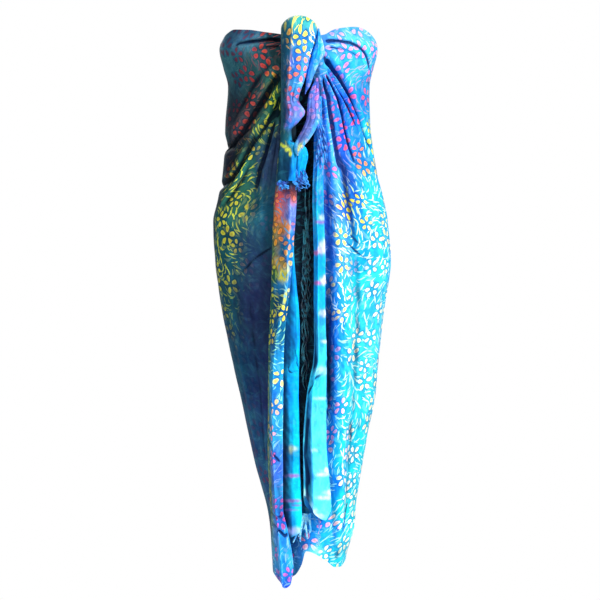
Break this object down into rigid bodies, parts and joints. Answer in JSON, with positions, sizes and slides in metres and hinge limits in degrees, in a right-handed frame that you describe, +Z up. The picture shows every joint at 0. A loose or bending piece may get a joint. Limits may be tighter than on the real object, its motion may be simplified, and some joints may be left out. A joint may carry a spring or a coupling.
{
  "type": "sarong",
  "caption": "Long strapless wrap of thin printed cloth, tied at the centre front, its fringed ends hanging in folds from the knot",
  "frame": {"origin": "the middle of the hollow at the height of the top edge, where the wearer's chest holds the cloth up", "axes": "+Z up along the body, -Y to the front, where the knot is, +X to the viewer's right"},
  "size_m": [0.3546, 0.2757, 1.1403],
  "materials": {
    "dark_side": "smooth printed rayon, dark teal and navy",
    "bright_side": "smooth printed rayon, turquoise",
    "underlap": "smooth printed rayon, navy",
    "left_fold": "smooth printed rayon, teal to blue with coral and yellow",
    "plain_fold": "smooth dyed rayon, bright blue",
    "tie": "smooth printed rayon, blue with yellow and coral",
    "tie_lilac": "smooth printed rayon, lilac",
    "fringe": "twisted rayon threads, blue"
  },
  "bodies": {
    "root": {"wrap_back_left": "dark_side", "wrap_back_right": "bright_side", "panel_left": "dark_side", "panel_right": "bright_side", "underlap": "underlap", "cascade_left_outer": "left_fold", "cascade_left_inner": "plain_fold", "cascade_right": "plain_fold", "tie_loop": "tie", "tie_strip": "tie", "tie_band": "tie_lilac", "tie_end": "tie", "fringe_tie_left": "fringe", "fringe_tie_right": "fringe", "fringe_tassels": "fringe", "fringe_gap": "fringe", "fringe_hem": "fringe"}
  },
  "joints": []
}
